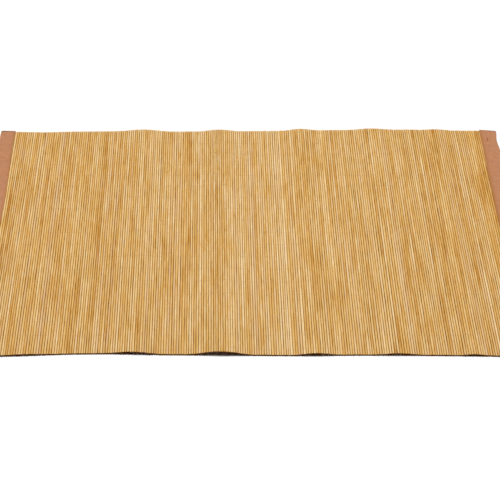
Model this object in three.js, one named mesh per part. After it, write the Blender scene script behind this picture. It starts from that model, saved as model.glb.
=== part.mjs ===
// A woven bamboo placemat, lying flat with a few soft folds.
// Thin bamboo sticks run from the front edge to the back edge and are raised as ribs in
// the top face of one sheet. A strip of brown cotton tape is folded over each short end.
// Units are millimetres. X runs along the mat, Y from its front edge to its back edge,
// Z is up, and the mat rests on z = 0 with the origin under its middle.

import * as THREE from 'three';

// The mat and its sticks. A rib rises from the joint between two sticks to a flat crest,
// which starts and ends at these shares of the pitch.
const MAT_DEPTH = 290;
const STICK_COUNT = 236;
const STICK_PITCH = 5 / 3;
const SHEET_THICKNESS = 1.2;
const RIB_DEPTH = 0.35;
const CREST_START = 0.28;
const CREST_END = 0.72;

// The tapes: one layer's thickness, how far they run past the sheet's edges, the length
// of the rounded outer fold and its steps, and the bevel in the corners of the slot.
const TAPE_THICKNESS = 1.0;
const TAPE_OVERHANG = 0.2;
const OUTER_FOLD = 2.6;
const OUTER_FOLD_STEPS = 6;
const SLOT_BEVEL = 0.25;

// The gap between pieces, and the stretch in which the sheet climbs onto a tape's lower
// layer, ending this far before the tape.
const PIECE_GAP = 0.3;
const CLIMB_LENGTH = 21;
const CLIMB_MARGIN = 1;

const HALF_DEPTH = MAT_DEPTH / 2;
const HALF_FIELD = (STICK_COUNT * STICK_PITCH) / 2;
const SLOT_FLOOR = TAPE_THICKNESS + PIECE_GAP;
const SLOT_HEIGHT = SHEET_THICKNESS + 2 * PIECE_GAP;
const TAPE_HEIGHT = SLOT_HEIGHT + 2 * TAPE_THICKNESS;

// Soft folds that run along the sticks: where each one crosses the front and the back
// edge, how high it lifts the mat there, and half its width there.
const FOLDS = [
  { frontX: -159.0, backX: -159.0, frontLift: 0.7, backLift: 0.0, frontHalf: 24.0, backHalf: 24.0 },
  { frontX: -84.2, backX: -83.8, frontLift: 1.5, backLift: 1.35, frontHalf: 20.9, backHalf: 22.6 },
  { frontX: -24.5, backX: -24.7, frontLift: 2.65, backLift: 1.6, frontHalf: 24.4, backHalf: 18.4 },
  { frontX: 40.4, backX: 41.1, frontLift: 1.55, backLift: 1.55, frontHalf: 17.7, backHalf: 15.9 },
  { frontX: 96.1, backX: 98.0, frontLift: 1.1, backLift: 1.25, frontHalf: 18.6, backHalf: 20.3 },
  { frontX: 148.5, backX: 152.0, frontLift: 0.85, backLift: 0.85, frontHalf: 12.5, backHalf: 13.9 },
];

// How far the front and back edges stand out past the nominal depth.
const EDGES = [
  { x: -200, front: 2.3, back: -1.9 },
  { x: -187, front: 2.1, back: -2.2 },
  { x: -174, front: 1.8, back: -2.1 },
  { x: -160, front: 1.2, back: -1.9 },
  { x: -147, front: 0.5, back: -1.2 },
  { x: -120, front: -0.6, back: -0.6 },
  { x: -90, front: -0.6, back: 0.3 },
  { x: -65, front: 0.3, back: -0.7 },
  { x: -38, front: 0.6, back: -0.4 },
  { x: 0, front: 1.2, back: 0.2 },
  { x: 30, front: 1.5, back: 1.0 },
  { x: 65, front: 1.1, back: 1.9 },
  { x: 98, front: 1.2, back: 2.5 },
  { x: 130, front: 1.7, back: 2.9 },
  { x: 155, front: 2.2, back: 1.9 },
  { x: 178, front: 2.8, back: 0.9 },
  { x: 187, front: 2.7, back: 0.6 },
  { x: 193, front: 2.7, back: -0.1 },
  { x: 200, front: 2.7, back: -1.1 },
];

// The folded outer edge and the sewn inner edge of each tape, as distances from the
// middle of the mat, from the front edge to the back edge.
const TAPE_EDGES = [
  { y: -145, leftOuter: 199.6, leftInner: 188.6, rightOuter: 199.4, rightInner: 185.8 },
  { y: -100, leftOuter: 200.0, leftInner: 188.2, rightOuter: 200.0, rightInner: 185.2 },
  { y: -50, leftOuter: 199.7, leftInner: 188.7, rightOuter: 199.8, rightInner: 185.0 },
  { y: 0, leftOuter: 200.0, leftInner: 188.5, rightOuter: 200.0, rightInner: 184.9 },
  { y: 50, leftOuter: 199.9, leftInner: 187.6, rightOuter: 200.0, rightInner: 185.4 },
  { y: 92, leftOuter: 200.0, leftInner: 188.2, rightOuter: 200.0, rightInner: 185.7 },
  { y: 113, leftOuter: 200.0, leftInner: 188.6, rightOuter: 199.9, rightInner: 186.0 },
  { y: 120, leftOuter: 200.0, leftInner: 188.7, rightOuter: 199.6, rightInner: 186.1 },
  { y: 126, leftOuter: 200.0, leftInner: 188.8, rightOuter: 199.1, rightInner: 186.2 },
  { y: 133, leftOuter: 200.0, leftInner: 188.8, rightOuter: 198.9, rightInner: 186.2 },
  { y: 139, leftOuter: 200.0, leftInner: 188.6, rightOuter: 199.5, rightInner: 186.3 },
  { y: 145, leftOuter: 199.9, leftInner: 188.2, rightOuter: 200.0, rightInner: 186.4 },
];

const LEFT_TAPE_START = Math.min(...TAPE_EDGES.map((row) => row.leftInner));
const RIGHT_TAPE_START = Math.min(...TAPE_EDGES.map((row) => row.rightInner));

function mix(a, b, t) {
  return a + (b - a) * t;
}

// A smooth curve through one column of a table, as a function of the table's key column.
// The slope at each row is that between its two neighbours.
function columnCurve(rows, key, column) {
  const at = rows.map((row) => row[key]);
  const value = rows.map((row) => row[column]);
  const last = rows.length - 1;
  const slope = rows.map((row, i) => {
    const before = Math.max(i - 1, 0);
    const after = Math.min(i + 1, last);
    return (value[after] - value[before]) / (at[after] - at[before]);
  });
  return (x) => {
    let i = 0;
    while (i < last - 1 && x > at[i + 1]) i += 1;
    const span = at[i + 1] - at[i];
    const t = THREE.MathUtils.clamp((x - at[i]) / span, 0, 1);
    const rise = t * t * (3 - 2 * t);
    const leave = t * (1 - t) * (1 - t) * span * slope[i];
    const arrive = t * t * (t - 1) * span * slope[i + 1];
    return mix(value[i], value[i + 1], rise) + leave + arrive;
  };
}

const frontBulge = columnCurve(EDGES, 'x', 'front');
const backBulge = columnCurve(EDGES, 'x', 'back');

function edgeY(x, isBack) {
  return isBack ? HALF_DEPTH + backBulge(x) : -HALF_DEPTH - frontBulge(x);
}

// Lift of the folds at the front or back edge: each fold is one smooth cosine hump.
function foldLift(x, isBack) {
  let lift = 0;
  for (const fold of FOLDS) {
    const centre = isBack ? fold.backX : fold.frontX;
    const height = isBack ? fold.backLift : fold.frontLift;
    const half = isBack ? fold.backHalf : fold.frontHalf;
    const away = Math.min(Math.abs(x - centre) / half, 1);
    lift += height * 0.5 * (1 + Math.cos(Math.PI * away));
  }
  return lift;
}

// Near each short end the sheet climbs onto the lower layer of its tape.
function endLift(x) {
  const climbEnd = (x < 0 ? LEFT_TAPE_START : RIGHT_TAPE_START) - CLIMB_MARGIN;
  return SLOT_FLOOR * THREE.MathUtils.smoothstep(Math.abs(x), climbEnd - CLIMB_LENGTH, climbEnd);
}

function underside(x, isBack) {
  return foldLift(x, isBack) + endLift(x);
}

function closedGeometry(points, faces) {
  const geometry = new THREE.BufferGeometry();
  geometry.setAttribute('position', new THREE.Float32BufferAttribute(points.flat(), 3));
  geometry.setIndex(faces.flat());
  geometry.computeVertexNormals();
  return geometry;
}

// The woven field: one sheet whose top face has a rib for each stick. Each stick gives
// four points on each edge, one below and three above, and the sheet ends with two more.
function wovenField() {
  const points = [];
  const faces = [];
  const perEdge = 4 * STICK_COUNT + 2;

  function addPoint(x, height, isBack) {
    points.push([x, edgeY(x, isBack), underside(x, isBack) + height]);
  }

  for (const isBack of [false, true]) {
    for (let stick = 0; stick <= STICK_COUNT; stick += 1) {
      const x = stick * STICK_PITCH - HALF_FIELD;
      addPoint(x, 0, isBack);
      addPoint(x, SHEET_THICKNESS - RIB_DEPTH, isBack);
      if (stick < STICK_COUNT) {
        addPoint(x + CREST_START * STICK_PITCH, SHEET_THICKNESS, isBack);
        addPoint(x + CREST_END * STICK_PITCH, SHEET_THICKNESS, isBack);
      }
    }
  }

  function addStrip(left, right) {
    faces.push([left, right, right + perEdge], [left, right + perEdge, left + perEdge]);
  }

  for (let stick = 0; stick < STICK_COUNT; stick += 1) {
    const below = 4 * stick;
    const [valley, crestStart, crestEnd, nextBelow, nextValley] = [1, 2, 3, 4, 5].map((n) => below + n);
    addStrip(nextBelow, below);
    addStrip(valley, crestStart);
    addStrip(crestStart, crestEnd);
    addStrip(crestEnd, nextValley);
    const rim = [nextBelow, nextValley, crestEnd, crestStart, valley];
    for (let i = 0; i < rim.length - 1; i += 1) {
      faces.push([below, rim[i], rim[i + 1]]);
      faces.push([below + perEdge, rim[i + 1] + perEdge, rim[i] + perEdge]);
    }
  }
  addStrip(0, 1);
  addStrip(perEdge - 1, perEdge - 2);
  return closedGeometry(points, faces);
}

// One tape section in the XZ plane, folded over the sheet's end: across the bottom, up
// round the outer fold, back over the top, then inside the slot the other way.
function tapeSection(outer, inner) {
  const middle = TAPE_HEIGHT / 2;
  const fold = [];
  for (let step = 0; step <= OUTER_FOLD_STEPS; step += 1) {
    const angle = Math.PI * (step / OUTER_FOLD_STEPS - 0.5);
    fold.push([outer + OUTER_FOLD * (Math.cos(angle) - 1), middle * (1 + Math.sin(angle))]);
  }
  const slotEnd = outer - TAPE_THICKNESS;
  const slotBottom = TAPE_THICKNESS;
  const slotTop = TAPE_HEIGHT - TAPE_THICKNESS;
  const slot = [
    [inner, slotTop],
    [slotEnd - SLOT_BEVEL, slotTop],
    [slotEnd, slotTop - SLOT_BEVEL],
    [slotEnd, slotBottom + SLOT_BEVEL],
    [slotEnd - SLOT_BEVEL, slotBottom],
    [inner, slotBottom],
  ];
  return [[inner, 0], ...fold, [inner, TAPE_HEIGHT], ...slot];
}

// A tape: its section carried from the front edge to the back edge, whose course its ends
// follow. The section changes with the table of tape edges, and side is -1 for the left end
// and 1 for the right end.
function foldedTape(side) {
  const name = side < 0 ? 'left' : 'right';
  const sections = TAPE_EDGES.map((row) => {
    const share = (row.y + HALF_DEPTH) / MAT_DEPTH;
    const section = tapeSection(row[`${name}Outer`], row[`${name}Inner`]);
    return section.map(([x, z]) => {
      const frontY = edgeY(side * x, false) - TAPE_OVERHANG;
      const backY = edgeY(side * x, true) + TAPE_OVERHANG;
      return [side * x, mix(frontY, backY, share), z];
    });
  });
  const size = sections[0].length;
  const faces = [];

  for (let row = 0; row < sections.length - 1; row += 1) {
    for (let i = 0; i < size; i += 1) {
      const a = row * size + i;
      const b = row * size + ((i + 1) % size);
      faces.push([a, b, b + size], [a, b + size, a + size]);
    }
  }
  const flat = sections[0].map(([x, , z]) => new THREE.Vector2(side * x, z));
  const lastSection = (sections.length - 1) * size;
  for (const [a, b, c] of THREE.ShapeUtils.triangulateShape(flat, [])) {
    faces.push([a, c, b], [lastSection + a, lastSection + b, lastSection + c]);
  }
  const outward = side < 0 ? faces : faces.map(([a, b, c]) => [a, c, b]);
  return closedGeometry(sections.flat(), outward);
}

const bamboo = new THREE.MeshStandardMaterial({ color: '#d4a76a', roughness: 0.55, metalness: 0 });
const cottonTape = new THREE.MeshStandardMaterial({ color: '#c08761', roughness: 0.9, metalness: 0 });

function namedMesh(name, geometry, material) {
  const mesh = new THREE.Mesh(geometry, material);
  mesh.name = name;
  return mesh;
}

const placemat = new THREE.Group();
placemat.add(namedMesh('woven_field', wovenField(), bamboo));
placemat.add(namedMesh('left_binding', foldedTape(-1), cottonTape));
placemat.add(namedMesh('right_binding', foldedTape(1), cottonTape.clone()));

export default placemat;
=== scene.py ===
"""Bamboo placemat: thin bamboo sticks held by rows of cotton thread, with a cotton tape
folded over each short end.

The file is laid out as a Blender add-on and is run as a script. It loads the placemat's
fixed frame, then makes each group of pieces around it with one operator. Tables and
shapes are worked out in millimetres, and every mesh and setting is in metres.
"""

import math

import bpy
import numpy as np
from bpy.props import FloatProperty, FloatVectorProperty, IntProperty, PointerProperty
from mathutils import Matrix, Vector


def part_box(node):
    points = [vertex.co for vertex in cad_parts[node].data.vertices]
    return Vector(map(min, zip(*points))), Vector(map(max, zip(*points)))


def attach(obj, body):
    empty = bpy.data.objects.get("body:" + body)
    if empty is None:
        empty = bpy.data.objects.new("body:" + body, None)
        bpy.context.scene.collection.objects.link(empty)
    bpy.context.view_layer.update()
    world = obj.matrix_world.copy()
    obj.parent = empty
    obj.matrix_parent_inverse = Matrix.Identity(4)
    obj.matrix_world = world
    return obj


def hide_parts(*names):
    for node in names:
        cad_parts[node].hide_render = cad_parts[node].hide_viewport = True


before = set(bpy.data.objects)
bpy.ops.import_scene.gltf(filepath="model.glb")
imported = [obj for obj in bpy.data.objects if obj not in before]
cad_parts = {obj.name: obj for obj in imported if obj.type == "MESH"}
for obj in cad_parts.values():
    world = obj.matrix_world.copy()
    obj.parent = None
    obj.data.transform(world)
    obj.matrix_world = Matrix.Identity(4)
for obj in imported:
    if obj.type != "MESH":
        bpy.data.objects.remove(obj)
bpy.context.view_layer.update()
FIELD_LOW, FIELD_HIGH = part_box("woven_field")

bl_info = {
    "name": "Bamboo placemat",
    "version": (1, 0, 0),
    "blender": (4, 5, 0),
    "location": "View3D > Sidebar > Placemat",
    "description": "Makes a bamboo placemat: its sticks, threads and folded cotton tapes",
    "category": "Add Mesh",
}

# A millimetre in metres, and the scale at which a wave texture has one band a metre.
MM = 0.001
WAVE_BANDS = 0.314

# Half the mat's nominal depth, and half the length of its field of sticks.
HALF_DEPTH = 145.0
HALF_FIELD = (FIELD_HIGH.x - FIELD_LOW.x) / 2 / MM

# Near each tape the sticks climb onto its lower layer, over this length, and are up this
# far before it.
CLIMB_LENGTH = 21.0
CLIMB_MARGIN = 1.0

# Six soft folds along the sticks: where each crosses the front and the back edge, its lift
# at the front and at the back, and half its width at the front and at the back.
FOLDS = np.array([
    (-159.0, -159.0, 0.7, 0.0, 24.0, 24.0),
    (-84.2, -83.8, 1.5, 1.35, 20.9, 22.6),
    (-24.5, -24.7, 2.65, 1.6, 24.4, 18.4),
    (40.4, 41.1, 1.55, 1.55, 17.7, 15.9),
    (96.1, 98.0, 1.1, 1.25, 18.6, 20.3),
    (148.5, 152.0, 0.85, 0.85, 12.5, 13.9),
])

# How far the front and back edges stand out past the nominal depth: x, front, back.
EDGES = np.array([
    (-200, 2.3, -1.9),
    (-187, 2.1, -2.2),
    (-174, 1.8, -2.1),
    (-160, 1.2, -1.9),
    (-147, 0.5, -1.2),
    (-120, -0.6, -0.6),
    (-90, -0.6, 0.3),
    (-65, 0.3, -0.7),
    (-38, 0.6, -0.4),
    (0, 1.2, 0.2),
    (30, 1.5, 1.0),
    (65, 1.1, 1.9),
    (98, 1.2, 2.5),
    (130, 1.7, 2.9),
    (155, 2.2, 1.9),
    (178, 2.8, 0.9),
    (187, 2.7, 0.6),
    (193, 2.7, -0.1),
    (200, 2.7, -1.1),
], float)

# The tapes' edges as distances from the mat's middle, from the front edge to the back
# edge: y, left outer, left inner, right outer, right inner.
TAPE_EDGES = np.array([
    (-145, 199.6, 188.6, 199.4, 185.8),
    (-100, 200.0, 188.2, 200.0, 185.2),
    (-50, 199.7, 188.7, 199.8, 185.0),
    (0, 200.0, 188.5, 200.0, 184.9),
    (50, 199.9, 187.6, 200.0, 185.4),
    (92, 200.0, 188.2, 200.0, 185.7),
    (113, 200.0, 188.6, 199.9, 186.0),
    (120, 200.1, 188.7, 199.6, 186.1),
    (126, 200.2, 188.8, 199.1, 186.2),
    (133, 200.3, 188.8, 198.9, 186.2),
    (139, 200.2, 188.6, 199.5, 186.3),
    (145, 199.9, 188.2, 200.1, 186.4),
])
LEFT_OUTER, LEFT_INNER, RIGHT_OUTER, RIGHT_INNER = 1, 2, 3, 4

# How dark the cut ends of the left and the right tape are, and how wide the browner band
# along each tape's stitched edge is.
DARK_ENDS = {-1: 0.95, 1: 0.3}
EDGE_BANDS = {-1: 1.0, 1: 2.0}

# A small dark slub in the right tape, and its half width and half length.
SLUB = (191.2, 130.9)
SLUB_SIZE = (0.55, 3.0)

# Sewing: the depth that a seam pulls the cloth in, the height of the puckers beside it, a
# stitch's half width and half height, and how far it lies below the cloth's face.
SEAM_DEPTH = 0.12
PUCKER = 0.035
STITCH_WIDE, STITCH_HIGH = 0.17, 0.11
STITCH_SINK = 0.08


def linear(hex_colour):
    """An sRGB hex colour as linear red, green, blue and alpha."""
    channels = [int(hex_colour[i:i + 2], 16) / 255 for i in (1, 3, 5)]
    low = [c / 12.92 for c in channels]
    high = [((c + 0.055) / 1.055) ** 2.4 for c in channels]
    return tuple(lo if c <= 0.04045 else hi for c, lo, hi in zip(channels, low, high)) + (1.0,)


def shade(colour, factor):
    """A colour made lighter or darker by a factor."""
    return tuple(min(1.0, c * factor) for c in colour[:3]) + (1.0,)


def curve_through(table, column, x):
    """A smooth curve through one column of a table: between two rows it is the cubic that
    meets both values, with the slope at each row that of the line joining its neighbours."""
    at = table[:, 0]
    value = table[:, column]
    row = np.arange(len(at))
    before = np.maximum(row - 1, 0)
    after = np.minimum(row + 1, len(at) - 1)
    slope = (value[after] - value[before]) / (at[after] - at[before])
    i = np.clip(np.searchsorted(at, x, side="right") - 1, 0, len(at) - 2)
    span = at[i + 1] - at[i]
    t = np.clip((x - at[i]) / span, 0, 1)
    rise = value[i] + (value[i + 1] - value[i]) * t * t * (3 - 2 * t)
    return rise + span * (slope[i] * t * (1 - t) ** 2 + slope[i + 1] * t * t * (t - 1))


def smooth_step(x, start, end):
    """Rises from 0 at start to 1 at end as 3 t squared less 2 t cubed."""
    t = np.clip((x - start) / (end - start), 0, 1)
    return t * t * (3 - 2 * t)


def front_y(x):
    """The front edge's place at x: the nominal edge less its bulge."""
    return -HALF_DEPTH - curve_through(EDGES, 1, x)


def back_y(x):
    """The back edge's place at x: the nominal edge plus its bulge."""
    return HALF_DEPTH + curve_through(EDGES, 2, x)


def underside(x, share, climb):
    """Height of the mat's underside at x and at a share of the way from front to back.
    Each fold is one wave of a cosine in x, raised to start and end at 0, and its lift is
    mixed from the front's and the back's. Near each short end a smooth step climbs by
    climb onto the tape's lower layer."""
    left_start = TAPE_EDGES[:, LEFT_INNER].min() - CLIMB_MARGIN
    right_start = TAPE_EDGES[:, RIGHT_INNER].min() - CLIMB_MARGIN
    start = np.where(x < 0, left_start, right_start)
    height = climb * smooth_step(np.abs(x), start - CLIMB_LENGTH, start)
    for front_x, back_x, front_lift, back_lift, front_half, back_half in FOLDS:
        centre = front_x + (back_x - front_x) * share
        lift = front_lift + (back_lift - front_lift) * share
        half_width = front_half + (back_half - front_half) * share
        away = np.clip(np.abs(x - centre) / half_width, 0, 1)
        height = height + lift * 0.5 * (1 + np.cos(np.pi * away))
    return height


def stick_line(x, share, climb):
    """A stick is straight, so its height runs in a line from the front to the back."""
    front = underside(x, 0.0, climb)
    back = underside(x, 1.0, climb)
    return front + (back - front) * share


def rounded_ring(steps, power):
    """Points round a rounded square of half size 1: cosine and sine of the angle, each
    raised to 2 over power and given its own sign. The first point is at the bottom."""
    angle = -np.pi / 2 + 2 * np.pi * np.arange(steps) / steps
    across = np.sign(np.cos(angle)) * np.abs(np.cos(angle)) ** (2 / power)
    up = np.sign(np.sin(angle)) * np.abs(np.sin(angle)) ** (2 / power)
    return across, up


def tube_corners(tubes, stations, ring):
    """For every quad of many tubes, the tube, station and ring step of its four corners,
    in the order that faces out where the ring turns against the clock seen from the
    tube's start."""
    tube, station, step = np.meshgrid(
        np.arange(tubes), np.arange(stations - 1), np.arange(ring), indexing="ij")
    tubes_of = np.stack([tube] * 4, axis=-1).reshape(-1, 4)
    stations_of = np.stack([station, station + 1, station + 1, station], axis=-1).reshape(-1, 4)
    steps_of = np.stack([step, step, step + 1, step + 1], axis=-1).reshape(-1, 4)
    return tubes_of, stations_of, steps_of


def make_tubes(name, points, caps, around, along, map_name):
    """A mesh of closed tubes. Points are in millimetres as tube, station, ring step and
    x, y, z. Caps lists the ring steps of each face that closes a tube's start. The map
    has u round the ring, from around by tube and step, and v along the tube, from along
    by tube and station. Returns the piece and which of its faces are caps."""
    tubes, stations, ring, _ = points.shape
    tube, station, step = tube_corners(tubes, stations, ring)
    sides = (tube * stations + station) * ring + step % ring
    first = np.arange(tubes)[:, None, None] * stations * ring + np.array(caps)[None]
    last = (first + (stations - 1) * ring)[:, :, ::-1]
    ends = np.concatenate([first, last]).reshape(-1, first.shape[-1])
    mesh = bpy.data.meshes.new(name)
    mesh.from_pydata((points.reshape(-1, 3) * MM).tolist(), [], sides.tolist() + ends.tolist())
    place = np.zeros((sides.size + ends.size, 2), np.float32)
    place[:sides.size, 0] = around[tube, step].ravel() * MM
    place[:sides.size, 1] = along[tube, station].ravel() * MM
    mesh.uv_layers.new(name=map_name).data.foreach_set("uv", place.ravel())
    is_cap = np.arange(len(sides) + len(ends)) >= len(sides)
    mesh.polygons.foreach_set("use_smooth", ~is_cap)
    mesh.update()
    piece = bpy.data.objects.new(name, mesh)
    bpy.context.scene.collection.objects.link(piece)
    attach(piece, "root")
    return piece, is_cap


def even_steps(around, ring):
    """Distances round each tube's ring, for a ring of even steps and each full length."""
    return np.asarray(around)[:, None] * np.arange(ring + 1)[None, :] / ring


def keep_numbers(piece, name, numbers):
    """Keeps one number on each point, for a material to read. There is one for each point,
    or one for each tube."""
    numbers = np.asarray(numbers, np.float32).ravel()
    values = np.repeat(numbers, len(piece.data.vertices) // len(numbers))
    piece.data.attributes.new(name, "FLOAT", "POINT").data.foreach_set("value", values)


class PlacematSticks(bpy.types.PropertyGroup):
    """Sizes and tones of the bamboo sticks."""

    count: IntProperty(
        name="Sticks", description="Number of sticks side by side", default=236, min=2)
    thickness: FloatProperty(
        name="Thickness", description="Height of a stick", default=1.0 * MM,
        min=0.0, unit="LENGTH", precision=5)
    gap: FloatProperty(
        name="Gap", description="Space between two sticks", default=0.004 * MM,
        min=0.0, unit="LENGTH", precision=5)
    rise: FloatProperty(
        name="Rise", description="Height of the sticks over what they lie on, for the threads",
        default=0.13 * MM, min=0.0, unit="LENGTH", precision=5)
    seed: IntProperty(
        name="Seed", description="Start of the sticks' unevenness", default=206840)
    dark: FloatVectorProperty(
        name="Dark tone", description="Toasted orange brown of the darkest sticks",
        subtype="COLOR", size=4, min=0, max=1, default=linear("#bb7f2c"))
    middle: FloatVectorProperty(
        name="Middle tone", description="Honey tone of most sticks",
        subtype="COLOR", size=4, min=0, max=1, default=linear("#ddb169"))
    light: FloatVectorProperty(
        name="Light tone", description="Pale straw tone of the lightest sticks",
        subtype="COLOR", size=4, min=0, max=1, default=linear("#efd3a2"))
    blush: FloatVectorProperty(
        name="Blush tone", description="Pinkish beige of the less yellow sticks",
        subtype="COLOR", size=4, min=0, max=1, default=linear("#dcb98c"))
    # Painted shade: this orange brown on the sticks' sides stands for the shade, warmed by bounced
    # light, in the grooves between them.
    flank_shade: FloatVectorProperty(
        name="Flank tone", description="Orange brown of the sticks' split flanks",
        subtype="COLOR", size=4, min=0, max=1, default=linear("#996112"))
    fleck: FloatVectorProperty(
        name="Fleck tone", description="Toasted brown of the short flecks",
        subtype="COLOR", size=4, min=0, max=1, default=linear("#90602d"))
    # Painted shade: dark streaks of it along the grooves between the sticks.
    shade_streak: FloatVectorProperty(
        name="Streak tone", description="Dark brown of the streaks along the flanks",
        subtype="COLOR", size=4, min=0, max=1, default=linear("#4d2a04"))
    # Painted shade: the underside is darkened so that the hollows under the folds look dark.
    under: FloatVectorProperty(
        name="Underside tone", description="Brown of the side that lies on the table",
        subtype="COLOR", size=4, min=0, max=1, default=linear("#6a3602"))


class PlacematThreads(bpy.types.PropertyGroup):
    """Sizes and colour of the cotton threads that hold the sticks."""

    rows: IntProperty(
        name="Rows", description="Rows of thread across the mat", default=19, min=1)
    pitch: FloatProperty(
        name="Row pitch", description="Distance from one row to the next",
        default=15.65 * MM, min=0.0, unit="LENGTH", precision=5)
    width: FloatProperty(
        name="Width", description="Width of one flattened thread",
        default=0.13 * MM, min=0.0, unit="LENGTH", precision=5)
    thickness: FloatProperty(
        name="Thickness", description="Thickness of one flattened thread",
        default=0.06 * MM, min=0.0, unit="LENGTH", precision=5)
    colour: FloatVectorProperty(
        name="Colour", description="Straw-coloured cotton",
        subtype="COLOR", size=4, min=0, max=1, default=linear("#dcb072"))


class PlacematTapes(bpy.types.PropertyGroup):
    """Sizes and colour of the folded cotton tapes."""

    cloth: FloatProperty(
        name="Cloth thickness", description="Thickness of the tape's cloth",
        default=0.35 * MM, min=0.0, unit="LENGTH", precision=5)
    height: FloatProperty(
        name="Height", description="Height of the folded tape over the table",
        default=2.05 * MM, min=0.0, unit="LENGTH", precision=5)
    overhang: FloatProperty(
        name="Overhang", description="How far the tape runs past the cut stick ends",
        default=0.2 * MM, min=0.0, unit="LENGTH", precision=5)
    stitch: FloatProperty(
        name="Stitch pitch", description="Distance from one machine stitch to the next",
        default=2.6 * MM, min=0.0, unit="LENGTH", precision=5)
    inset: FloatProperty(
        name="Seam inset", description="Distance of the seam from the tape's inner edge",
        default=1.8 * MM, min=0.0, unit="LENGTH", precision=5)
    colour: FloatVectorProperty(
        name="Colour", description="Terracotta brown of the dyed cotton",
        subtype="COLOR", size=4, min=0, max=1, default=linear("#b67c55"))
    end_tone: FloatVectorProperty(
        name="Cut ends", description="Dark olive of the tapes' cut ends",
        subtype="COLOR", size=4, min=0, max=1, default=linear("#3a3a2a"))
    edge: FloatVectorProperty(
        name="Edge", description="Browner band along the stitched edge",
        subtype="COLOR", size=4, min=0, max=1, default=linear("#a86c34"))
    slub: FloatVectorProperty(
        name="Slub", description="Dark red brown of the slub in the right tape",
        subtype="COLOR", size=4, min=0, max=1, default=linear("#8c4620"))


class PlacematStage(bpy.types.PropertyGroup):
    """Camera, lights and floor."""

    focal: FloatProperty(
        name="Focal length", description="Focal length in pixels of the square picture",
        default=1832.35, min=1.0)
    picture: FloatProperty(
        name="Picture", description="Side of the square picture in pixels",
        default=500.0, min=1.0)
    place: FloatVectorProperty(
        name="Camera place", description="Where the camera stands",
        subtype="TRANSLATION", size=3, default=(-0.03265, -1.12275, 0.77309))
    pitch: FloatProperty(
        name="Pitch", description="How far the camera looks down",
        default=math.radians(35.046), subtype="ANGLE")
    heading: FloatProperty(
        name="Heading", description="Turn of the view to the right of the sticks",
        default=math.radians(1.566), subtype="ANGLE")
    roll: FloatProperty(
        name="Roll", description="Turn of the picture about the view",
        default=math.radians(-0.900), subtype="ANGLE")
    key: FloatProperty(
        name="Key light", description="Power of the soft light overhead, in watts",
        default=114.0, min=0.0)
    key_place: FloatVectorProperty(
        name="Key place", description="Where the soft light hangs",
        subtype="TRANSLATION", size=3, default=(-0.1, 0.3, 3.0))
    key_size: FloatProperty(
        name="Key size", description="Side of the soft light",
        default=1.5, min=0.0, unit="LENGTH")
    fill: FloatProperty(
        name="Fill light", description="Strength of the even light from all round",
        default=0.02, min=0.0)
    floor: FloatVectorProperty(
        name="Floor colour", description="Pale studio floor",
        subtype="COLOR", size=4, min=0, max=1, default=linear("#f5f4f3"))


def add(tree, kind, inputs=None, stops=None, **settings):
    """Adds a node with its settings. An input is linked where a socket is given for it and
    set where a value is given. Stops are a colour ramp's places and colours, in order."""
    node = tree.nodes.new(kind)
    for name, value in settings.items():
        setattr(node, name, value)
    for name, value in (inputs or {}).items():
        if isinstance(value, bpy.types.NodeSocket):
            tree.links.new(value, node.inputs[name])
        else:
            node.inputs[name].default_value = value
    if stops:
        elements = node.color_ramp.elements
        for place, _ in stops[1:-1]:
            elements.new(place)
        for element, (place, colour) in zip(elements, stops):
            element.position = place
            element.color = colour
    return node


def mix(tree, factor, first, second):
    """A colour mixed from two others, by a factor that is a socket or a number."""
    node = tree.nodes.new("ShaderNodeMix")
    node.data_type = "RGBA"
    for name, value in (("Factor_Float", factor), ("A_Color", first), ("B_Color", second)):
        socket = next(s for s in node.inputs if s.identifier == name)
        if isinstance(value, bpy.types.NodeSocket):
            tree.links.new(value, socket)
        else:
            socket.default_value = value
    return next(s for s in node.outputs if s.identifier == "Result_Color")


def new_material(name, **surface):
    """A material with one Principled surface, whose even settings are given. Returns the
    material, its tree and the surface node."""
    material = bpy.data.materials.new(name)
    material.use_nodes = True
    tree = material.node_tree
    tree.nodes.clear()
    settings = {key.replace("_", " "): value for key, value in surface.items()}
    shader = add(tree, "ShaderNodeBsdfPrincipled", settings)
    add(tree, "ShaderNodeOutputMaterial", {"Surface": shader.outputs["BSDF"]})
    return material, tree, shader


def stick_noise(tree, across, along, detail, roughness):
    """Noise that follows a stick: across and along are the size of its grains round the
    stick and along it, in metres. Each stick has its own, by a number on its points that
    moves it on through the noise."""
    number_step = 7.31
    number = add(tree, "ShaderNodeAttribute", attribute_name="stick_number")
    place = add(tree, "ShaderNodeUVMap", uv_map="stick_map")
    split = add(tree, "ShaderNodeSeparateXYZ", {"Vector": place.outputs["UV"]})
    own = add(tree, "ShaderNodeCombineXYZ", {
        "X": split.outputs["X"],
        "Y": split.outputs["Y"],
        "Z": number.outputs["Fac"],
    })
    scaled = add(tree, "ShaderNodeVectorMath", {
        0: own.outputs["Vector"],
        1: (1 / across, 1 / along, number_step),
    }, operation="MULTIPLY")
    noise = add(tree, "ShaderNodeTexNoise", {
        "Vector": scaled.outputs["Vector"],
        "Scale": 1.0,
        "Detail": detail,
        "Roughness": roughness,
    })
    return noise.outputs["Fac"]


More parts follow.
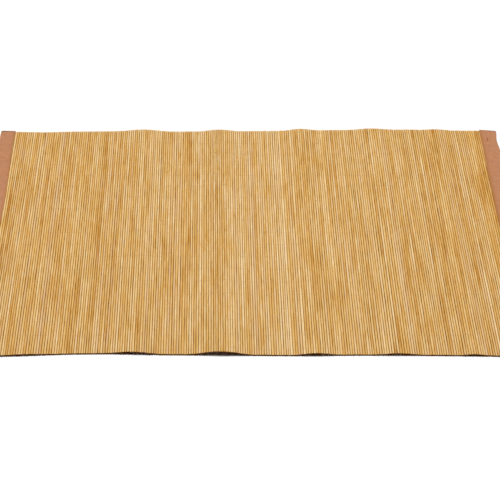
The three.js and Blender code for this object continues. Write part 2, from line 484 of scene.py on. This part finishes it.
def split_bamboo(sticks):
    """Split and planed bamboo, dried and left bare. Each stick has its own honey or straw tone,
    which drifts along it, under fine fibres that run its length, with a few short toasted flecks.
    The sides of the sticks are painted an uneven orange brown, with long dark streaks: painted
    shade in the grooves between the sticks, warmed as by light bounced between them. The underside
    is painted browner still, as painted shade under the mat. The fibres give a soft satin gleam
    along the crest. The drift and the fibres are weighed and added to the stick's tone, less their
    middle, and the hue noise is weighed and added to its blush."""
    drift_weight, fibre_weight, middle = 2.25, 0.4, 1.29
    hue_weight, hue_middle = 1.9, 1.05
    material, tree, shader = new_material(
        "split_bamboo", Roughness=0.7, IOR=1.48, Specular_IOR_Level=0.09)
    tone = add(tree, "ShaderNodeAttribute", attribute_name="tone")
    warmth = add(tree, "ShaderNodeAttribute", attribute_name="blush")
    drift = stick_noise(tree, 9 * MM, 62 * MM, 7.0, 0.75)
    hue = stick_noise(tree, 9 * MM, 21 * MM, 3.0, 0.6)
    fibre = stick_noise(tree, 0.16 * MM, 9 * MM, 2.0, 0.5)
    fleck = stick_noise(tree, 0.8 * MM, 2.6 * MM, 1.0, 0.5)
    drifted = add(tree, "ShaderNodeMath", {
        0: drift, 1: drift_weight, 2: tone.outputs["Fac"],
    }, operation="MULTIPLY_ADD")
    grained = add(tree, "ShaderNodeMath", {
        0: fibre, 1: fibre_weight, 2: drifted.outputs["Value"],
    }, operation="MULTIPLY_ADD")
    centred = add(tree, "ShaderNodeMath", {
        0: grained.outputs["Value"], 1: middle,
    }, operation="SUBTRACT")
    ramp = add(tree, "ShaderNodeValToRGB", {"Fac": centred.outputs["Value"]}, stops=[
        (0.0, sticks.dark), (0.5, sticks.middle), (1.0, sticks.light),
    ])
    turned = add(tree, "ShaderNodeMath", {
        0: hue, 1: hue_weight, 2: warmth.outputs["Fac"],
    }, operation="MULTIPLY_ADD")
    pinkish = add(tree, "ShaderNodeMath", {
        0: turned.outputs["Value"], 1: hue_middle,
    }, operation="SUBTRACT", use_clamp=True)
    blushed = mix(tree, pinkish.outputs["Value"], ramp.outputs["Color"], sticks.blush)
    toasted = add(tree, "ShaderNodeMapRange", {
        "Value": fleck, "From Min": 0.70, "From Max": 0.80, "To Min": 0.0, "To Max": 0.6,
    })
    top = mix(tree, toasted.outputs["Result"], blushed, tuple(sticks.fleck))
    # Painted shade in the grooves between the sticks, uneven along them, with dark painted streaks
    # of shade.
    flank_shade = add(tree, "ShaderNodeAttribute", attribute_name="flank_shade")
    shade_streak = stick_noise(tree, 1.8 * MM, 20 * MM, 2.0, 0.5)
    uneven = add(tree, "ShaderNodeMapRange", {
        "Value": shade_streak, "From Min": 0.35, "From Max": 0.65, "To Min": 0.85, "To Max": 1.25,
    })
    side = add(tree, "ShaderNodeMath", {
        0: flank_shade.outputs["Fac"], 1: uneven.outputs["Result"],
    }, operation="MULTIPLY")
    split = mix(tree, side.outputs["Value"], top, sticks.flank_shade)
    # Painted shade: darker streaks in the grooves between the sticks.
    deep = add(tree, "ShaderNodeMapRange", {
        "Value": shade_streak, "From Min": 0.56, "From Max": 0.67, "To Min": 0.0, "To Max": 0.9,
    })
    streaks = add(tree, "ShaderNodeMath", {
        0: flank_shade.outputs["Fac"], 1: deep.outputs["Result"],
    }, operation="MULTIPLY")
    streaked = mix(tree, streaks.outputs["Value"], split, tuple(sticks.shade_streak))
    # Painted shade on the sticks' underside.
    under = add(tree, "ShaderNodeAttribute", attribute_name="under")
    colour = mix(tree, under.outputs["Fac"], streaked, tuple(sticks.under))
    tree.links.new(colour, shader.inputs["Base Color"])
    relief = add(tree, "ShaderNodeBump", {
        "Height": fibre, "Strength": 0.3, "Distance": 0.03 * MM,
    })
    tree.links.new(relief.outputs["Normal"], shader.inputs["Normal"])
    return material


def cut_bamboo():
    """Sawn bamboo end grain: matt and much darker than the sides, with open pores. The darkness is
    partly the end grain's own and partly painted shade, as the front ends face away from the light.
    """
    material, tree, shader = new_material("cut_bamboo", Roughness=0.9, Specular_IOR_Level=0.02)
    place = add(tree, "ShaderNodeTexCoord")
    pores = add(tree, "ShaderNodeTexNoise", {
        "Vector": place.outputs["Object"], "Scale": 1 / (0.3 * MM), "Detail": 2.0,
    })
    colour = add(tree, "ShaderNodeValToRGB", {"Fac": pores.outputs["Fac"]}, stops=[
        (0.3, linear("#532a02")), (0.7, linear("#723f08")),
    ])
    tree.links.new(colour.outputs["Color"], shader.inputs["Base Color"])
    return material


def twisted_cotton(name, colour):
    """Twisted cotton thread: matt, with a slanted light and dark line for each turn of its twist,
    which are a painted highlight and painted shade of the twist's ridges and grooves. The twist is
    drawn 0.5 mm long, so that it shows."""
    material, tree, shader = new_material(name, Roughness=0.9, Sheen_Weight=0.2)
    place = add(tree, "ShaderNodeUVMap", uv_map="thread_map")
    twist = add(tree, "ShaderNodeTexWave", {
        "Vector": place.outputs["UV"], "Scale": WAVE_BANDS / (0.5 * MM), "Distortion": 1.0,
    }, bands_direction="DIAGONAL")
    # Painted highlight and shade of the twist.
    tone = mix(tree, twist.outputs["Fac"], shade(colour, 0.85), tuple(colour))
    tree.links.new(tone, shader.inputs["Base Color"])
    return material


def dyed_tape(tapes):
    """Plain woven cotton tape, dyed terracotta: matt, with the fine grid of its weave, darker
    between the threads as painted shade, a slightly uneven dye, browner along the stitched edge and
    dark at the cut ends. The weave is drawn at 0.6 mm, a little coarser than real."""
    material, tree, shader = new_material("dyed_cotton_tape", Roughness=0.88, Sheen_Weight=0.15)
    place = add(tree, "ShaderNodeUVMap", uv_map="cloth_map")
    weave = WAVE_BANDS / (0.6 * MM)
    threads = [
        add(tree, "ShaderNodeTexWave", {
            "Vector": place.outputs["UV"], "Scale": weave,
        }, bands_direction=direction).outputs["Fac"]
        for direction in ("X", "Y")
    ]
    crossing = add(tree, "ShaderNodeMath", {0: threads[0], 1: threads[1]}, operation="MAXIMUM")
    cloud = add(tree, "ShaderNodeTexNoise", {
        "Vector": place.outputs["UV"], "Scale": 1 / (4 * MM), "Detail": 4.0, "Roughness": 0.7,
    })
    dye = add(tree, "ShaderNodeValToRGB", {"Fac": cloud.outputs["Fac"]}, stops=[
        (0.3, shade(tapes.colour, 0.84)), (0.7, shade(tapes.colour, 1.2)),
    ])
    # Painted shade between the weave's threads.
    tone = mix(tree, crossing.outputs["Value"], shade(tapes.colour, 0.8), dye.outputs["Color"])
    band = add(tree, "ShaderNodeAttribute", attribute_name="band")
    banded = mix(tree, band.outputs["Fac"], tone, tuple(tapes.edge))
    end_dark = add(tree, "ShaderNodeAttribute", attribute_name="end_dark")
    end_darkened = mix(tree, end_dark.outputs["Fac"], banded, tuple(tapes.end_tone))
    centre, size = Vector((*SLUB, 0)) * MM, Vector((*SLUB_SIZE, 1)) * MM
    spot = add(tree, "ShaderNodeMapping", {
        "Vector": add(tree, "ShaderNodeTexCoord").outputs["Object"],
        "Location": centre, "Scale": size,
    }, vector_type="TEXTURE")
    flat = add(tree, "ShaderNodeVectorMath", {
        0: spot.outputs["Vector"], 1: (1, 1, 0),
    }, operation="MULTIPLY")
    away = add(tree, "ShaderNodeVectorMath", {0: flat.outputs["Vector"]}, operation="LENGTH")
    slub = add(tree, "ShaderNodeMapRange", {
        "Value": away.outputs["Value"], "From Min": 0.4, "From Max": 1.3,
        "To Min": 0.9, "To Max": 0.0,
    })
    dotted = mix(tree, slub.outputs["Result"], end_darkened, tuple(tapes.slub))
    tree.links.new(dotted, shader.inputs["Base Color"])
    relief = add(tree, "ShaderNodeBump", {
        "Height": crossing.outputs["Value"], "Strength": 0.4, "Distance": 0.08 * MM,
    })
    tree.links.new(relief.outputs["Normal"], shader.inputs["Normal"])
    return material


def studio_board(colour):
    """Smooth matt studio board, almost white, with a faint tooth."""
    material, tree, shader = new_material("studio_board", Roughness=0.9)
    place = add(tree, "ShaderNodeTexCoord")
    tooth = add(tree, "ShaderNodeTexNoise", {
        "Vector": place.outputs["Object"], "Scale": 1 / (4 * MM), "Detail": 3.0,
    })
    tone = mix(tree, tooth.outputs["Fac"], shade(colour, 0.98), tuple(colour))
    tree.links.new(tone, shader.inputs["Base Color"])
    return material


def stick_layout(sticks):
    """Where each stick lies and how big it is, in millimetres. The widths vary a little
    and together fill the field. A stick's tone is its own, with a part shared by three
    neighbours and a part that changes slowly across the mat, in straight lines between
    places one ninth of the mat apart."""
    rng = np.random.default_rng(sticks.seed)
    count = sticks.count
    own, shared, broad = 0.085, 0.045, 0.03
    width = np.clip(rng.normal(1.0, 0.06, count), 0.75, 1.3)
    edge = np.concatenate([[0.0], np.cumsum(width)])
    edge = edge * 2 * HALF_FIELD / edge[-1] - HALF_FIELD
    batch = np.convolve(rng.normal(0, 1, count + 2), np.ones(3) / math.sqrt(3), mode="valid")
    slow = np.interp(np.linspace(0, 9, count), np.arange(10), rng.normal(0, 1, 10))
    return {
        "x": (edge[1:] + edge[:-1]) / 2,
        "half_width": (edge[1:] - edge[:-1] - sticks.gap / MM) / 2 * rng.uniform(0.996, 1.0, count),
        "half_height": sticks.thickness / MM / 2 * rng.uniform(0.92, 1.05, count),
        "phase": rng.uniform(0, 2 * np.pi, count),
        "sway": rng.uniform(0.0, 0.004, count),
        "cut": rng.normal(0, 0.05, (2, count)),
        "roll": rng.normal(0, 0.08, count),
        "lift": rng.uniform(0, 0.12, count),
        "tone": rng.normal(0.5, own, count) + shared * batch + broad * slow,
        "blush": np.clip(rng.normal(0.1, 0.25, count), 0, 0.7),
        "start": rng.uniform(0, 400, count),
        # How strong the painted shade on each stick's sides is.
        "flank_shade": np.clip(rng.normal(0.95, 0.2, count), 0.5, 1.17),
    }


def stick_path(layout, share, sticks, climb):
    """The sticks' centre lines at shares of the way to the back, as x, y, z and tilt. Each
    runs straight between the mat's edges, bows by part of a slow sine wave, and is tilted
    by its own roll and by the slope of the folds there, taken over one millimetre."""
    bow = layout["sway"][:, None] * np.sin(np.pi * share + layout["phase"][:, None])
    x = layout["x"][:, None] + bow
    start = (front_y(layout["x"]) + layout["cut"][0])[:, None]
    end = (back_y(layout["x"]) + layout["cut"][1])[:, None]
    y = start + (end - start) * share
    reach = 0.5
    risen = stick_line(x + reach, share, climb) - stick_line(x - reach, share, climb)
    tilt = np.arctan(risen / (2 * reach)) + layout["roll"][:, None]
    raised = sticks.rise / MM + layout["half_height"] + layout["lift"]
    z = stick_line(x, share, climb) + raised[:, None]
    return x, y, z, tilt


def make_sticks(sticks, layout, climb):
    """All sticks as one mesh. Each is a rounded bar carried along its centre line, drawn in a
    little at its two sawn ends. The painted shade on the sticks' sides rises by a smooth step from
    the crest to the side, and is full on the lower half."""
    ring = 12
    squareness = 2.5
    chamfer = 0.0018
    end_size = 0.8
    crest_edge, side_shade = 0.45, 0.85
    under_start = -0.5
    share = np.array([[0.0, chamfer, 0.5, 1 - chamfer, 1.0]])
    drawn_in = np.where((share == 0) | (share == 1), end_size, 1.0)
    x, y, z, tilt = (a[..., None] for a in stick_path(layout, share, sticks, climb))
    across, up = rounded_ring(ring, squareness)
    u = layout["half_width"][:, None, None] * drawn_in[..., None] * across
    v = layout["half_height"][:, None, None] * drawn_in[..., None] * up
    points = np.stack([
        x + u * np.cos(tilt) - v * np.sin(tilt),
        y + 0 * u,
        z + u * np.sin(tilt) + v * np.cos(tilt),
    ], axis=-1)
    around = even_steps(4 * (layout["half_width"] + layout["half_height"]), ring)
    along = y[..., 0] + layout["start"][:, None]
    piece, is_cap = make_tubes(
        "bamboo_sticks", points, [list(range(ring))], around, along, "stick_map")
    piece.data.materials.append(split_bamboo(sticks))
    piece.data.materials.append(cut_bamboo())
    piece.data.polygons.foreach_set("material_index", is_cap.astype(np.int32))
    keep_numbers(piece, "stick_number", np.arange(sticks.count))
    keep_numbers(piece, "tone", layout["tone"])
    keep_numbers(piece, "blush", layout["blush"])
    # Painted shade on the sticks' sides, full on their lower half.
    shaded = side_shade * smooth_step(np.abs(across), crest_edge, 1.0)
    shaded = np.tile(shaded, (share.size, 1))
    flank_shade = np.where(up < 0, 1.0, layout["flank_shade"][:, None, None] * shaded)
    keep_numbers(piece, "flank_shade", flank_shade)
    # Painted shade on the lowest part of each stick.
    keep_numbers(piece, "under", np.broadcast_to(up < under_start, flank_shade.shape))
    return piece


def make_threads(name, rows, sticks, threads, layout, climb):
    """Some of the rows of thread as one mesh. Each row has two threads side by side, and
    each passes over one stick and under the next, the other the other way round. A
    thread's centre follows the stick's rounded outline at half its own thickness, and
    crosses to the other side in the gap. Corner is where it turns over the stick's edge,
    as a share of the stick's half size, and apart is half the space between two threads."""
    corner, apart = 0.774, 0.03
    count = sticks.count
    half_width = threads.width / MM / 2
    half_thick = threads.thickness / MM / 2
    first = -(threads.rows - 1) / 2 * threads.pitch / MM
    row_y = first + np.asarray(rows) * threads.pitch / MM
    share = (row_y + HALF_DEPTH) / (2 * HALF_DEPTH)
    paths = stick_path(layout, share[None, :], sticks, climb)
    x, _, z, tilt = (a.T[:, None, :, None] for a in paths)

    side = np.where((np.arange(count)[None, :] + np.arange(2)[:, None]) % 2 == 0, 1.0, -1.0)
    wide = layout["half_width"][None, :, None]
    high = layout["half_height"][None, :, None]
    gap = np.full((1, count, 1), sticks.gap / MM / 2)
    u = np.concatenate([-wide - gap, -corner * wide - half_thick, 0 * wide,
                        corner * wide + half_thick], axis=2)
    v = np.concatenate([0 * high, corner * high + half_thick, high + half_thick,
                        corner * high + half_thick], axis=2)
    u = np.broadcast_to(u, (2, count, 4))[None]
    v = (side[:, :, None] * v)[None]
    lines = (len(row_y), 2, count * 4)
    path_x = (x + u * np.cos(tilt) - v * np.sin(tilt)).reshape(lines)
    path_z = (z + u * np.sin(tilt) + v * np.cos(tilt)).reshape(lines)
    strand = np.array([-1.0, 1.0])[None, :, None] * (half_width + apart)
    path_y = row_y[:, None, None] + strand + 0 * path_x

    tangent_x = np.gradient(path_x, axis=2)
    tangent_z = np.gradient(path_z, axis=2)
    length = np.hypot(tangent_x, tangent_z)
    normal_x, normal_z = -tangent_z / length, tangent_x / length
    angle = np.pi / 4 + np.pi / 2 * np.arange(4)
    aside = -np.cos(angle) * half_width * math.sqrt(2)
    out = np.sin(angle) * half_thick * math.sqrt(2)
    points = np.stack([
        path_x[..., None] + normal_x[..., None] * out,
        path_y[..., None] + aside,
        path_z[..., None] + normal_z[..., None] * out,
    ], axis=-1).reshape(-1, count * 4, 4, 3)
    tubes = len(points)
    along = np.cumsum(length, axis=2).reshape(tubes, -1)
    around = even_steps(np.full(tubes, 4 * (half_width + half_thick)), 4)
    piece, _ = make_tubes(name, points, [[0, 1, 2, 3]], around, along, "thread_map")
    return piece


def tape_shape(side, share):
    """One tape's edges at shares of the way to the back, in millimetres: outer, inner, and
    how high its upper layer stands over its usual height. Two sine waves along the tape
    make the inner edge wander by a tenth of a millimetre, and two slower ones make the
    height swell by half that."""
    columns = (LEFT_OUTER, LEFT_INNER) if side < 0 else (RIGHT_OUTER, RIGHT_INNER)
    y = HALF_DEPTH * (2 * share - 1)
    outer = curve_through(TAPE_EDGES, columns[0], y)
    inner = curve_through(TAPE_EDGES, columns[1], y)
    inner = inner + 0.06 * np.sin(y / 3.1 + side) + 0.05 * np.sin(y / 7.7)
    swell = 0.03 * np.sin(y / 5.3 + side) + 0.03 * np.sin(y / 12.9 + 2 * side)
    return outer, inner, swell


def tape_y(tapes, x, share):
    """The place in y of a point of a tape at x, at a share of the way to the back. The
    tape runs just past the cut sticks, so its ends follow the mat's edges."""
    start = front_y(x) - tapes.overhang / MM
    end = back_y(x) + tapes.overhang / MM
    return start + (end - start) * share


def make_tape(name, tapes, side):
    """One tape as a closed sheet of cloth folded over the stick ends. The middle line of
    its section runs out along the lower layer, turns up by half an ellipse and runs back
    along the upper one. The outer skin lies half the cloth's thickness outside that line
    and the inner skin as far inside. Both woven edges are rounded by the root of 1 less
    the square of the distance from full thickness. A bell-shaped groove runs along the
    seam, where the outer skin is pulled in, and the upper layer puckers between stitches
    as a cosine of the place along it. Selvedge places the section's first points, as
    distances from the edge, and spread the rest, as shares of the flat part."""
    cloth, height = tapes.cloth / MM, tapes.height / MM
    inset, pitch = tapes.inset / MM, tapes.stitch / MM
    fold_room, least_radius, most_radius = 0.1, 1.0, 1.6
    pucker_width, groove_width = 1.2, 0.4
    thinnest = 0.3
    stitches = round(2 * HALF_DEPTH / pitch)
    share = np.linspace(0, 1, 1 + 4 * stitches)
    outer, inner, swell = (a[:, None] for a in tape_shape(side, share))
    radius = np.clip(outer - HALF_FIELD - fold_room, least_radius, most_radius)

    selvedge = np.array([0.0, 0.06, 0.14, 0.25])
    full = selvedge[-1]
    spread = np.array([0.06, 0.10, 0.13, 0.155, 0.18, 0.22, 0.3, 0.45, 0.7, 1.0])
    flat = outer - radius - inner
    near = np.broadcast_to(selvedge, (len(share), len(selvedge)))
    out = np.concatenate([near, full + (flat - full) * spread], axis=1)
    turn = np.linspace(0, np.pi, 13)[1:-1]
    fold_x = outer - radius + (radius - cloth / 2) * np.sin(turn)
    fold_z = height / 2 - (height - cloth) / 2 * np.cos(turn) + 0 * outer
    middle_x = np.concatenate([inner + out, fold_x, (inner + out)[:, ::-1]], axis=1)
    seam = np.exp(-((out - inset) / pucker_width) ** 2)
    pucker = PUCKER * np.cos(2 * np.pi * stitches * share[:, None]) * seam
    upper_z = height - cloth / 2 + swell + pucker
    middle_z = np.concatenate([cloth / 2 + 0 * out, fold_z, upper_z[:, ::-1]], axis=1)

    rounding = np.sqrt(1 - (1 - selvedge / full) ** 2)
    half = np.ones(out.shape[1])
    half[:len(selvedge)] = np.maximum(rounding, thinnest)
    half = np.concatenate([half, np.ones(len(turn)), half[::-1]]) * cloth / 2
    groove = SEAM_DEPTH * np.exp(-((out - inset) / groove_width) ** 2)
    groove = np.concatenate([groove, 0 * fold_x, groove[:, ::-1]], axis=1)
    along_x, along_z = np.gradient(middle_x, axis=1), np.gradient(middle_z, axis=1)
    length = np.hypot(along_x, along_z)
    right_x, right_z = along_z / length, -along_x / length
    ring_x = np.concatenate([middle_x + right_x * (half - groove),
                             (middle_x - right_x * half)[:, ::-1]], axis=1)
    ring_z = np.concatenate([middle_z + right_z * (half - groove),
                             (middle_z - right_z * half)[:, ::-1]], axis=1)
    if side < 0:
        ring_x, ring_z = -ring_x[:, ::-1], ring_z[:, ::-1]
    ring_y = tape_y(tapes, ring_x, share[:, None])
    points = np.stack([ring_x, ring_y, ring_z], axis=-1)[None]

    steps = ring_x.shape[1]
    middle = len(share) // 2
    closed_x = np.append(ring_x[middle], ring_x[middle, 0])
    closed_z = np.append(ring_z[middle], ring_z[middle, 0])
    around = np.append(0, np.cumsum(np.hypot(np.diff(closed_x), np.diff(closed_z))))[None]
    caps = [[i, i + 1, steps - 2 - i, steps - 1 - i] for i in range(steps // 2 - 1)]
    piece, _ = make_tubes(name, points, caps, around, ring_y[None, :, 0], "cloth_map")
    colour_tape(piece, side, np.abs(ring_x) - inner, share)
    return piece


def colour_tape(piece, side, from_inner, share):
    """Keeps the tape's two darker marks on its points. The browner band along the stitched edge
    fades as a bell curve of the distance from it. The dark of the cut ends fades by a smooth step
    within two millimetres of them, and is fainter near the stitched edge."""
    band_tone = 0.9
    faint, faint_until, full_from = 0.35, 5.5, 7.5
    fade_start, fade_end = 1.8, 0.9
    band = band_tone * np.exp(-(from_inner / EDGE_BANDS[side]) ** 2)
    keep_numbers(piece, "band", band)
    from_end = np.minimum(share, 1 - share)[:, None] * 2 * HALF_DEPTH
    past = smooth_step(from_inner, faint_until, full_from)
    end_dark = DARK_ENDS[side] * (faint + (1 - faint) * past)
    keep_numbers(piece, "end_dark", end_dark * smooth_step(-from_end, -fade_start, -fade_end))


def make_seam(name, tapes, side):
    """One tape's row of machine stitches on both faces, as one mesh. A stitch is a short
    flattened tube that narrows at its ends and dips there into the cloth by the fourth
    power of the distance from its middle. Filled is half its length as a share of the
    pitch, lower_z the height of the lower row, and girth the way round a stitch."""
    ring = 6
    height = tapes.height / MM
    inset, pitch = tapes.inset / MM, tapes.stitch / MM
    filled, lower_z, girth = 0.44, 0.14, 0.9
    count = round(2 * HALF_DEPTH / pitch)
    reach = np.array([-1.0, -0.85, -0.5, 0.5, 0.85, 1.0])
    narrow = np.array([0.35, 0.8, 1.0, 1.0, 0.8, 0.35])
    share = (np.arange(count)[:, None] + 0.5 + filled * reach) / count
    _, inner, swell = tape_shape(side, share)
    x = side * (inner + inset)
    y = tape_y(tapes, x, share)
    dip = SEAM_DEPTH * reach ** 4
    top = height + swell - PUCKER - STITCH_SINK - dip
    bottom = lower_z + dip
    angle = -np.pi / 2 + 2 * np.pi * np.arange(ring) / ring
    across = STITCH_WIDE * np.cos(angle) * narrow[:, None]
    up = STITCH_HIGH * np.sin(angle) * narrow[:, None]
    rows = [
        np.stack([x[..., None] + across, y[..., None] + 0 * across, z[..., None] + up], axis=-1)
        for z in (top, bottom + 0 * top)
    ]
    points = np.concatenate(rows)
    around = even_steps(np.full(len(points), girth), ring)
    along = np.concatenate([y, y])
    piece, _ = make_tubes(name, points, [list(range(ring))], around, along, "thread_map")
    piece.data.materials.append(twisted_cotton("sewing_thread", tapes.colour))
    return piece


def stage_light(name, place, size, power):
    """A square soft light that faces the middle of the mat."""
    data = bpy.data.lights.new(name, "AREA")
    data.shape = "SQUARE"
    data.size = size
    data.energy = power
    light = bpy.data.objects.new(name, data)
    light.location = place
    light.rotation_euler = (-Vector(place)).to_track_quat("-Z", "Y").to_euler()
    bpy.context.scene.collection.objects.link(light)
    return light


def stage_camera(stage):
    """The camera from its place, pitch, heading and roll. Its focal length in pixels
    becomes a lens by the sensor's width over the picture's side."""
    forward = Vector((math.sin(stage.heading), math.cos(stage.heading), 0))
    right = Vector((math.cos(stage.heading), -math.sin(stage.heading), 0))
    up = Vector((0, 0, 1))
    view = forward * math.cos(stage.pitch) - up * math.sin(stage.pitch)
    down = -forward * math.sin(stage.pitch) - up * math.cos(stage.pitch)
    across = right * math.cos(stage.roll) + down * math.sin(stage.roll)
    below = down * math.cos(stage.roll) - right * math.sin(stage.roll)
    data = bpy.data.cameras.new("camera")
    data.sensor_width = 36.0
    data.lens = stage.focal * data.sensor_width / stage.picture
    data.clip_start = 0.01
    camera = bpy.data.objects.new("camera", data)
    turn = Matrix((across, -below, -view)).transposed().to_4x4()
    camera.matrix_world = Matrix.Translation(stage.place) @ turn
    bpy.context.scene.collection.objects.link(camera)
    bpy.context.scene.camera = camera


class PLACEMAT_OT_stage(bpy.types.Operator):
    """Make the camera, the lights and the floor"""

    bl_idname = "placemat.stage"
    bl_label = "Stage"

    def execute(self, context):
        scene = context.scene
        stage = scene.placemat_stage
        stage_camera(stage)
        stage_light("key_light", stage.key_place, stage.key_size, stage.key)
        world = bpy.data.worlds.new("even_light")
        world.use_nodes = True
        background = world.node_tree.nodes["Background"]
        background.inputs["Color"].default_value = (1.0, 1.0, 1.0, 1.0)
        background.inputs["Strength"].default_value = stage.fill
        scene.world = world
        scene.view_settings.view_transform = "Standard"
        mesh = bpy.data.meshes.new("studio_floor")
        reach, low = 4.0, -0.1 * MM
        ends = ((-1, -1), (1, -1), (1, 1), (-1, 1))
        corners = [(reach * x, reach * y, low) for x, y in ends]
        mesh.from_pydata(corners, [], [(0, 1, 2, 3)])
        mesh.materials.append(studio_board(stage.floor))
        floor = bpy.data.objects.new("studio_floor", mesh)
        scene.collection.objects.link(floor)
        return {"FINISHED"}


class PLACEMAT_OT_weave(bpy.types.Operator):
    """Make the bamboo sticks and the rows of thread that hold them"""

    bl_idname = "placemat.weave"
    bl_label = "Sticks and threads"

    def execute(self, context):
        scene = context.scene
        sticks = scene.placemat_sticks
        threads = scene.placemat_threads
        climb = scene.placemat_tapes.cloth / MM
        layout = stick_layout(sticks)
        field = make_sticks(sticks, layout, climb)
        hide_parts("woven_field")
        cotton = twisted_cotton("twisted_cotton_thread", threads.colour)
        half = (threads.rows + 1) // 2
        rows = np.arange(threads.rows)
        for name, group in (("front_threads", rows[:half]), ("back_threads", rows[half:])):
            piece = make_threads(name, group, sticks, threads, layout, climb)
            piece.data.materials.append(cotton)
        return {"FINISHED"}


class PLACEMAT_OT_tapes(bpy.types.Operator):
    """Make the two folded tapes and their seams"""

    bl_idname = "placemat.tapes"
    bl_label = "Tapes"

    def execute(self, context):
        tapes = context.scene.placemat_tapes
        cloth = dyed_tape(tapes)
        for word, side, cut_width in (("left", -1, 0.024), ("right", 1, 0.030)):
            tape = make_tape(word + "_tape", tapes, side)
            tape.data.materials.append(cloth)
            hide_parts(word + "_binding")
            seam = make_seam(word + "_seam", tapes, side)
        return {"FINISHED"}


class PLACEMAT_PT_panel(bpy.types.Panel):
    """The placemat's sizes and the steps that make it"""

    bl_idname = "PLACEMAT_PT_panel"
    bl_label = "Bamboo placemat"
    bl_space_type = "VIEW_3D"
    bl_region_type = "UI"
    bl_category = "Placemat"

    def draw(self, context):
        for settings, operator in STEPS:
            box = self.layout.box()
            for name in settings:
                group = getattr(context.scene, name)
                for key in group.bl_rna.properties.keys():
                    if key not in {"rna_type", "name"}:
                        box.prop(group, key)
            box.operator(operator)


STEPS = (
    (("placemat_stage",), "placemat.stage"),
    (("placemat_sticks", "placemat_threads"), "placemat.weave"),
    (("placemat_tapes",), "placemat.tapes"),
)
SETTINGS = {
    "placemat_sticks": PlacematSticks,
    "placemat_threads": PlacematThreads,
    "placemat_tapes": PlacematTapes,
    "placemat_stage": PlacematStage,
}
BUTTONS = (PLACEMAT_OT_stage, PLACEMAT_OT_weave, PLACEMAT_OT_tapes, PLACEMAT_PT_panel)


def register():
    """Registers the classes and puts the settings on the scene."""
    for name, group in SETTINGS.items():
        bpy.utils.register_class(group)
        setattr(bpy.types.Scene, name, PointerProperty(type=group))
    for button in BUTTONS:
        bpy.utils.register_class(button)


def unregister():
    """Takes away what register added."""
    for button in reversed(BUTTONS):
        bpy.utils.unregister_class(button)
    for name, group in SETTINGS.items():
        delattr(bpy.types.Scene, name)
        bpy.utils.unregister_class(group)


def main():
    """Makes the whole placemat and its stage."""
    register()
    bpy.ops.placemat.stage()
    bpy.ops.placemat.weave()
    bpy.ops.placemat.tapes()


if __name__ == "__main__":
    main()
